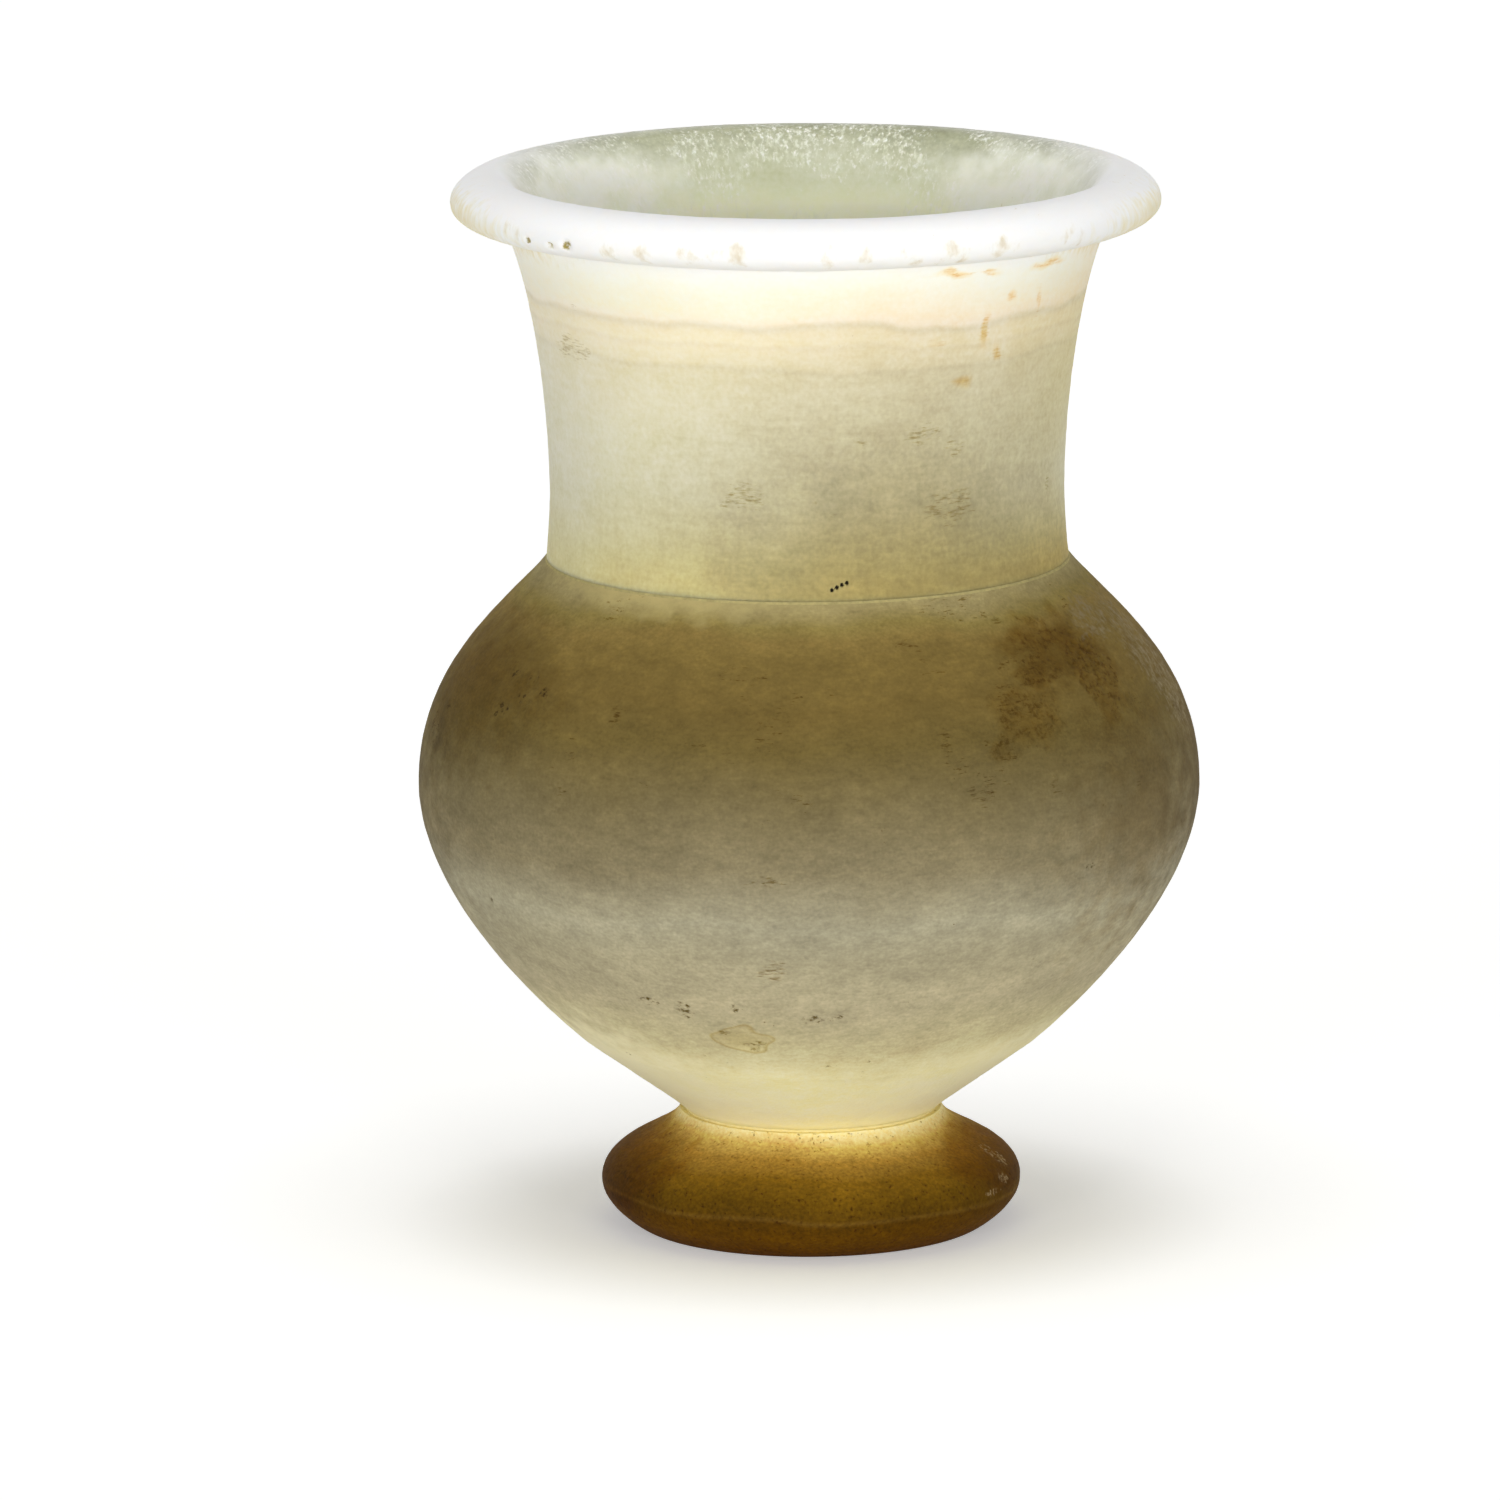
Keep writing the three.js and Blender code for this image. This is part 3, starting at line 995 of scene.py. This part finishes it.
press_marks(
    neck,
    [(-41.6, 221.9, 3.6, 3.4, 1.2), (-45.2, 221.3, 2.6, 2.2, 0.7), (-50.5, 221.8, 2.6, 2.0, 0.6)]
    + [(azimuth, height, 1.1, 1.3, 0.8) for azimuth, height in DRILL_MARKS]
    + scattered(30, 0, 30, 220, 0.7, 0.35),
)

# The bore's colour starts this deep in the wall, in mm, and comes in this many times as fast as over the
# lip. On the lip it starts past the crest at the back, so that the back of the lip takes the bore's
# painted shade, and further in by up to a distance at the front, where the lip is white with a painted
# glow. Below the lip that ends over a height.
BORE_START = 3
BORE_HASTE = 4
LIP_PAST_CREST = 9
LIP_FRONT_PULL = 27
LIP_FRONT_BEND = 1.4
LIP_END_RISE = 30
LIP_END_HEIGHT = 12


def inside_neck(places, radius):
    """Where the neck's inside starts at each point: within its wall, or on the lip."""
    outer = np.interp(places[:, 2], [p[1] for p in neck_outside], [p[0] for p in neck_outside])
    below = underside - places[:, 2]
    back_edge = CREST_RADIUS + LIP_PAST_CREST
    wall = np.where(below > 0, radius + BORE_HASTE * (outer - BORE_START - radius), back_edge)
    frontness = 0.5 - 0.5 * places[:, 1] / radius
    front_pull = LIP_FRONT_PULL * frontness**LIP_FRONT_BEND
    lip = back_edge - front_pull + LIP_END_RISE * np.clip(below / LIP_END_HEIGHT, 0, 1)
    return np.minimum(wall, lip)


mark_hollow(neck, inside_neck, width=11)
mark_spots(neck, "clouded", [(22, 151, 200, 200)], fade=1.0)
mark_spots(neck, "dark_root", [(80, 143, 150, 62)], fade=1.0)
mark_spots(neck, "yellowed", [(84, 188, 140, 110)], fade=1.0)
mark_spots(
    neck,
    "rust",
    [
        (29, 215, 22, 4),
        (38, 214.8, 12, 3.4),
        (54, 214.4, 22, 5),
        (39.4, 202, 7, 16),
        (43, 197, 6, 7),
        (34, 190.7, 14, 5.5),
        (28, 201, 12, 4),
        (54, 206, 6, 14),
        (45.5, 208.5, 6, 7),
    ],
    loose=2.0,
    fade=0.8,
)
mark_spots(
    neck,
    "specks",
    [
        (1.6, 167, 3.6, 4),
        (4.9, 164, 5, 3.6),
        (51.8, 158, 4, 5),
        (67.5, 165, 5, 9),
        (26.3, 180.5, 16, 10),
        (33.5, 177.3, 8, 10),
        (10.9, 179.9, 7, 5),
        (-14.3, 167.7, 18, 13),
        (32.9, 164.2, 24, 16),
        (-54.2, 205, 4, 4),
        (-58, 196, 26, 10),
    ],
    loose=1.5,
)
BLOTCHES = [
    (-55, 14),
    (-33, 10),
    (-26.3, 8),
    (-19.3, 10),
    (-12.3, 19),
    (3.6, 7),
    (9.3, 7),
    (17.6, 12),
    (24, 17),
    (33, 12),
    (48, 16),
]
mark_spots(neck, "blotches", [(turn, 222, across, 9) for turn, across in BLOTCHES], loose=1.2)
mark_spots(neck, "chips", [(-41.6, 221.9, 4.4, 4.2), (-45.2, 221.3, 3.2, 3), (-50.5, 221.8, 3.4, 2.8)])
mark_spots(neck, "drilled", [(azimuth, height, 1.7, 1.9) for azimuth, height in DRILL_MARKS])
# Where the lip's ends and back take streaks and painted shade
mark_spots(neck, "lip_end_shade_and_streaks", [(80, 220, 110, 22), (-80, 220, 110, 22), (180, 221, 110, 22)], fade=1.0)
# Where painted light makes the bore's sides paler
mark_spots(neck, "painted_bore_side_light", [(120, 218, 110, 34), (-120, 218, 110, 34)], outside=False)

# Clear travertine, rubbed smooth: satin, nearly white at the lip, which is a painted glow, and yellower
# down the neck, with thin level bands, rust stains on one side and dried white flecks in the bore
NECK_ZONES = [
    (138, "C8C088"),
    (147, "DBCF95"),
    (153, "D7CF9E"),
    (166, "DEDABC"),
    (178, "E4E0C4"),
    (190, "E7E1C4"),
    (194, "E7E0C2"),
    (195, "E4DCBE"),
    (196, "ECE4C6"),
    (199, "F0E7C9"),
    (200, "EDE3C5"),
    (201, "F3EACC"),
    (203, "F1E7C9"),
    (204.3, "E8DEC2"),
    (205.6, "FAEFDA"),
    (207.5, "FDF1DA"),
    (212, "FDF4E2"),
    (218, "FDFAF2"),
    (229, "FDFDFA"),
]
# The bore's darkest colours, at the crest, are painted shade on the back of the lip
BORE_ZONES = [
    (138, "C8CAAA"),
    (180, "F2F4D0"),
    (208, "FCFDE2"),
    (213, "F8FAE0"),
    (218, "E0E2C8"),
    (222, "D4D6BC"),
    (227, "B2B498"),
    (229, "96987A"),
]
clear, tree = new_material("smooth_rubbed_clear_travertine")
coords = add_node(tree, "TexCoord").outputs["Object"]
outer = zoned_colour(tree, coords, NECK_ZONES, drift=4.0)

# Broad even stains grey the front, brown the root on the right and yellow the side above it
for mark, tint in (("clouded", "CBC2AC"), ("dark_root", "CCBE96"), ("yellowed", "F2EACC")):
    outer, _ = stained(tree, outer, mark, breakup=0.5, tint=tint)

# Small marks are broken into thin level dashes, and the rust among them has a soft halo
clouds = add_node(tree, "TexNoise", {"Vector": coords, "Scale": 1 / (9 * MM), "Detail": 3.0})
grit = add_node(
    tree,
    "TexNoise",
    {"Vector": coords, "Scale": 1 / (PIT_WAVE * MM), "Detail": 4.0, "Roughness": 0.65},
)
level = add_node(tree, "Mapping", {"Vector": coords, "Scale": (1, 1, DASH_FLATTEN)})
dashes = add_node(
    tree,
    "TexNoise",
    {"Vector": level.outputs[0], "Scale": 1 / (DASH_WAVE * MM), "Detail": 4.0, "Roughness": 0.65},
)
outer, _ = stained(tree, outer, "specks", dashes.outputs[0], "D2C8A8", pull=0.4, soft=0.24)
outer, _ = stained(tree, outer, "rust", clouds.outputs[0], "FAEAC4", pull=0.8, soft=0.6)
outer, _ = stained(tree, outer, "rust", dashes.outputs[0], "EAD09C", pull=0.54, soft=0.44)

# The lip's lower edge is blotched and chipped, and its two ends and its back are streaked and darkened
# with painted shade
blotches = add_node(tree, "Mapping", {"Vector": coords, "Scale": (1, 1, 0.5)})
blotch = add_node(
    tree,
    "TexNoise",
    {"Vector": blotches.outputs[0], "Scale": 1 / (2.6 * MM), "Detail": 4.0, "Roughness": 0.6},
)
outer, _ = stained(
    tree, outer, "blotches", blotch.outputs[0], "E0D8C8", pull=0.46, soft=0.4
)
streaks = add_node(tree, "Mapping", {"Vector": coords, "Scale": (1, 1, 0.2)})
streak = add_node(
    tree, "TexNoise", {"Vector": streaks.outputs[0], "Scale": 1 / (1.6 * MM), "Detail": 3.0}
)
# Streaks and painted shade on the lip's ends and back
outer, _ = stained(tree, outer, "lip_end_shade_and_streaks", streak.outputs[0], "F0E7C8", soft=0.7)
outer, chipped = stained(
    tree, outer, "chips", grit.outputs[0], "A89C60", pull=0.45, soft=0.2
)
outer, drilled = stained(
    tree, outer, "drilled", breakup=0.2, tint="2A2010", pull=1.0, soft=0.3
)

# The bore is greyer, with painted light on its sides, dried white drips, and flecks in its upper half,
# from a height in mm where they start to one where they are at their thickest
FLECKS_START = 196
FLECKS_FULL = 212
inner = zoned_colour(tree, coords, BORE_ZONES, drift=2.0)
# Painted light: the bore's sides are made paler
inner, _ = stained(
    tree, inner, "painted_bore_side_light", clouds.outputs[0], "FAFBEF", pull=0.9, soft=0.7, blend="MIX"
)
drawn = add_node(tree, "Mapping", {"Vector": coords, "Scale": (1, 1, 0.14)})
drips = add_node(
    tree,
    "TexNoise",
    {"Vector": drawn.outputs[0], "Scale": 1 / (1.1 * MM), "Detail": 3.0, "Roughness": 0.6},
)
longer = add_node(tree, "Mapping", {"Vector": coords, "Scale": (1, 1, 0.5)})
specks = add_node(
    tree,
    "TexNoise",
    {"Vector": longer.outputs[0], "Scale": 1 / (0.9 * MM), "Detail": 3.0, "Roughness": 0.65},
)
patches = add_node(tree, "TexNoise", {"Vector": coords, "Scale": 1 / (12 * MM), "Detail": 2.0})
spread = add_node(
    tree, "MapRange", {"Value": patches.outputs[0], "From Min": 0.1, "From Max": 0.55}
).outputs[0]
inner, _ = broken_tint(
    tree, inner, spread, drips.outputs[0], "F0F2E2", pull=0.4, soft=0.36, blend="MIX"
)
upright = add_node(tree, "SeparateXYZ", {0: coords})
above = add_node(
    tree,
    "MapRange",
    {"Value": upright.outputs["Z"], "From Min": FLECKS_START * MM, "From Max": FLECKS_FULL * MM},
)
reach = add_node(tree, "Math", {0: spread, 1: above.outputs[0]}, operation="MULTIPLY").outputs[0]
inner, _ = broken_tint(
    tree, inner, reach, specks.outputs[0], "FBFBF4", pull=0.36, soft=0.26, blend="MIX"
)
hollow = add_node(tree, "Attribute", attribute_name="hollow").outputs["Fac"]
colour = add_node(
    tree, "Mix", {0: hollow, MIX_FIRST: outer, MIX_SECOND: inner}, data_type="RGBA"
).outputs[MIX_RESULT]
colour = mottle(tree, colour, coords, size=14, strength=0.12)
colour = mottle(tree, colour, coords, size=10, strength=0.06, flatten=8.0)
colour = mottle(tree, colour, coords, size=3, strength=0.08, flatten=1.5)
colour = mottle(tree, colour, coords, size=1.2, strength=0.03, flatten=0.2)
colour = mottle(tree, colour, coords, size=1.0, strength=0.12)
clusters = add_node(
    tree, "TexNoise", {"Vector": coords, "Scale": 1 / (CLUSTER_WAVE * MM), "Detail": 2.0}
)
reach = add_node(
    tree, "MapRange", {"Value": clusters.outputs[0], "From Min": 0.52, "From Max": 0.72}
).outputs[0]
colour, pits = broken_tint(tree, colour, reach, grit.outputs[0], "D0C498", pull=0.27, soft=0.2)
for dent in (chipped, drilled):
    pits = add_node(tree, "Math", {0: pits, 1: dent}, operation="MAXIMUM").outputs[0]
rubbed_face(
    tree, coords, colour, pits, roughness=0.65, sheen=0.12, glow=0.9, depth=5.0, relief=0.15
)
neck.data.materials.append(clear)
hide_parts("neck")
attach(neck, "root")

# Floor
# A plain white studio floor that keeps the vase's soft shadow. The camera and reflections
# see it lifted to white.
FLOOR_RADIUS = 5
FLOOR_SEGMENTS = 96
FLOOR_LIFT = 0.36
bm = bmesh.new()
bmesh.ops.create_circle(bm, cap_ends=True, segments=FLOOR_SEGMENTS, radius=FLOOR_RADIUS)
floor_mesh = bpy.data.meshes.new("floor")
bm.to_mesh(floor_mesh)
bm.free()
floor = bpy.data.objects.new("floor", floor_mesh)
bpy.context.scene.collection.objects.link(floor)


def seen_directly(tree):
    """1 for rays that show a surface to the eye, straight, mirrored or through glass."""
    path = add_node(tree, "LightPath")
    mirrored = add_node(
        tree,
        "Math",
        {0: path.outputs["Is Glossy Ray"], 1: path.outputs["Is Transmission Ray"]},
        operation="ADD",
    )
    seen = add_node(
        tree,
        "Math",
        {0: mirrored.outputs[0], 1: path.outputs["Is Camera Ray"]},
        operation="ADD",
        use_clamp=True,
    )
    return seen.outputs[0]


paper, tree = new_material("white_paper")
lift = add_node(tree, "Math", {0: seen_directly(tree), 1: FLOOR_LIFT}, operation="MULTIPLY")
matte = add_node(tree, "BsdfDiffuse", {"Color": linear("F4F4F2")})
lifted = add_node(tree, "Emission", {"Color": linear("FFFFFF"), "Strength": lift.outputs[0]})
paper_face = add_node(tree, "AddShader", {0: matte.outputs[0], 1: lifted.outputs[0]})
add_node(tree, "OutputMaterial", {"Surface": paper_face.outputs[0]})
floor_mesh.materials.append(paper)

# Light
# A pale even room, which the camera sees as white, one broad lamp overhead, and two low soft
# ones in front. Each lamp has an azimuth, an elevation and a spread in degrees, and a level.
ROOM_LEVEL = 0.24
LAMPS = [
    ("overhead", 0, 86, 35, 0.44),
    ("front_left", -28, 5, 16, 0.36),
    ("front_right", 28, 5, 16, 0.36),
]
world = bpy.data.worlds.new("pale_room")
bpy.context.scene.world = world
world.use_nodes = True
tree = world.node_tree
tree.nodes.clear()
room = add_node(tree, "Background", {"Color": linear("FFFFFF"), "Strength": ROOM_LEVEL})
white = add_node(tree, "Background", {"Color": linear("FFFFFF"), "Strength": 1.0})
backdrop = add_node(tree, "MixShader", {0: seen_directly(tree), 1: room.outputs[0], 2: white.outputs[0]})
add_node(tree, "OutputWorld", {"Surface": backdrop.outputs[0]})


def soft_lamp(name, azimuth, elevation, spread, level):
    """A far lamp of a spread in degrees, whose light on a face turned to it is a share of white."""
    data = bpy.data.lights.new(name, "SUN")
    data.angle = math.radians(spread)
    data.energy = level * math.pi
    lamp = bpy.data.objects.new(name, data)
    lamp.matrix_world = Matrix.Rotation(math.radians(azimuth), 4, "Z") @ Matrix.Rotation(
        math.radians(90 - elevation), 4, "X"
    )
    bpy.context.scene.collection.objects.link(lamp)


for lamp in LAMPS:
    soft_lamp(*lamp)

# Camera
# The photograph's view: a long lens some way off, looking down by 11 degrees, with the vase
# a little right of the middle. The eye and its furthest sight are in metres.
PHOTO_WIDTH = 1500
FOCAL_PIXELS = 13300
SENSOR = 36.0
AXIS_PIXEL = 808.8
DOWN = 11.285
ROLL = -0.32
EYE = (0, -2.8, 0.6617)
SEES_TO = 50
camera_data = bpy.data.cameras.new("camera")
camera_data.sensor_width = SENSOR
camera_data.lens = FOCAL_PIXELS / PHOTO_WIDTH * SENSOR
camera_data.shift_x = (PHOTO_WIDTH / 2 - AXIS_PIXEL) / PHOTO_WIDTH
camera_data.clip_end = SEES_TO
camera = bpy.data.objects.new("camera", camera_data)
camera.matrix_world = (
    Matrix.Translation(EYE)
    @ Matrix.Rotation(math.radians(90 - DOWN), 4, "X")
    @ Matrix.Rotation(math.radians(ROLL), 4, "Z")
)
bpy.context.scene.collection.objects.link(camera)
bpy.context.scene.camera = camera
bpy.context.scene.view_settings.view_transform = "Standard"
